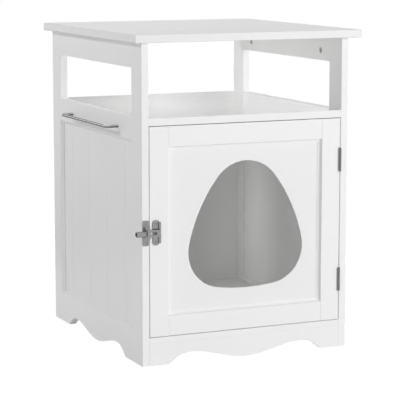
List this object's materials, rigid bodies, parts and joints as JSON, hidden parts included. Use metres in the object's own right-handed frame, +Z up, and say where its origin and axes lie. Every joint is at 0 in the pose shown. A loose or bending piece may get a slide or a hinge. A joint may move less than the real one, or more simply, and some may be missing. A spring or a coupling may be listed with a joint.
{
  "type": "litter box enclosure",
  "caption": "White end-table cabinet that hides a litter box: overhanging top, open shelf bay, coved door with a rounded pet entrance, hasp latch and side towel rail.",
  "frame": {"origin": "on the floor, in the middle of the overall box, which runs from the towel rail to the top's right edge", "axes": "+X to the right seen from the front, +Y from the door to the back, +Z up"},
  "size_m": [0.498, 0.53, 0.65],
  "materials": {
    "white_paint": "satin white paint on fibreboard",
    "rail_chrome": "polished chrome plate",
    "satin_steel": "satin nickel plate",
    "screw_zinc": "bright zinc plate",
    "dowel_beech": "plain beech"
  },
  "bodies": {
    "cabinet": {"back_dowels": "dowel_beech", "back_panel": "white_paint", "cam_bolts": "screw_zinc", "cam_locks": "screw_zinc", "floor_board": "white_paint", "front_apron": "white_paint", "hinge_cabinet_screws": "screw_zinc", "keeper_screws": "screw_zinc", "latch_keeper": "satin_steel", "left_bottom_rail": "white_paint", "left_front_stile": "white_paint", "left_mid_rail": "white_paint", "left_panel": "white_paint", "left_rear_stile": "white_paint", "left_top_rail": "white_paint", "lower_hinge_cabinet_leaf": "satin_steel", "lower_hinge_pin": "satin_steel", "rail_screws": "screw_zinc", "right_bottom_rail": "white_paint", "right_front_stile": "white_paint", "right_mid_rail": "white_paint", "right_panel": "white_paint", "right_rear_stile": "white_paint", "right_top_rail": "white_paint", "shelf": "white_paint", "side_dowels": "dowel_beech", "top_board": "white_paint", "towel_rail": "rail_chrome", "upper_hinge_cabinet_leaf": "satin_steel", "upper_hinge_pin": "satin_steel"},
    "door": {"door_bottom_rail": "white_paint", "door_dowels": "dowel_beech", "door_left_stile": "white_paint", "door_panel": "white_paint", "door_right_stile": "white_paint", "door_top_rail": "white_paint", "lower_hinge_door_leaf": "satin_steel", "upper_hinge_door_leaf": "satin_steel", "hinge_door_screws": "screw_zinc", "latch_hinge_plate": "satin_steel", "latch_pin": "satin_steel", "hinge_plate_screws": "screw_zinc"},
    "hasp": {"hasp_arm": "satin_steel"},
    "knob": {"turn_knob": "satin_steel"}
  },
  "joints": [
    {"name": "door_hinge", "type": "hinge", "parent": "cabinet", "child": "door", "pos_m": [0.2117, -0.2476, 0.2645], "axis": [0, 0, 1], "range_deg": [0, 110]},
    {"name": "hasp_swing", "type": "hinge", "parent": "door", "child": "hasp", "pos_m": [-0.185, -0.248, 0.265], "axis": [0, 0, 1], "range_deg": [0, 130]},
    {"name": "knob_turn", "type": "hinge", "parent": "hasp", "child": "knob", "pos_m": [-0.2135, -0.26, 0.265], "axis": [0, 1, 0], "range_deg": [0, 90]}
  ]
}
